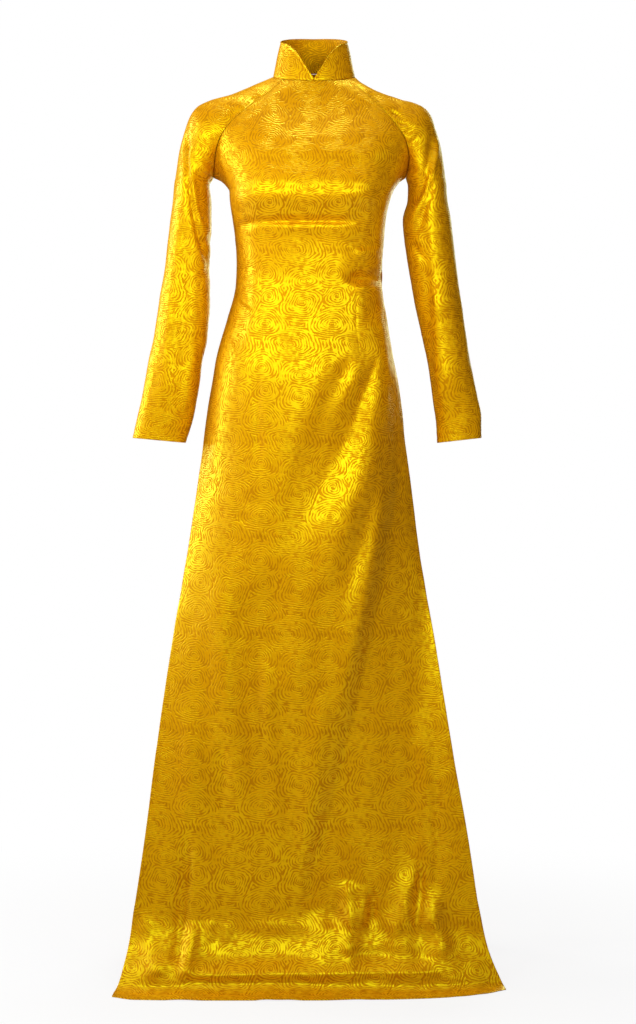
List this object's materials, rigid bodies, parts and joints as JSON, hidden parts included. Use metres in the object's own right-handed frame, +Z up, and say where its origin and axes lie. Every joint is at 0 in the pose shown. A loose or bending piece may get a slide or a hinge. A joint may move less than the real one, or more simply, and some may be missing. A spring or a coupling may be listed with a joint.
{
  "type": "ao dai gown",
  "caption": "Long-sleeved ao dai gown in gold rose brocade, hollow as when worn, with raglan sleeves, a stand collar, side slits and long front and back panels.",
  "frame": {"origin": "middle of the neck base, level with the sides of the neck, where the gown rests on the wearer's neck and shoulders", "axes": "+Z up, -Y out of the front, +X to the wearer's left"},
  "size_m": [0.597, 0.4988, 1.4887],
  "materials": {
    "brocade": "gold-yellow satin with a woven rose pattern, sheen on the floats and a duller ground"
  },
  "bodies": {
    "root": {"front_panel": "brocade", "back_panel": "brocade", "sleeve_left": "brocade", "sleeve_right": "brocade", "collar": "brocade"}
  },
  "joints": []
}
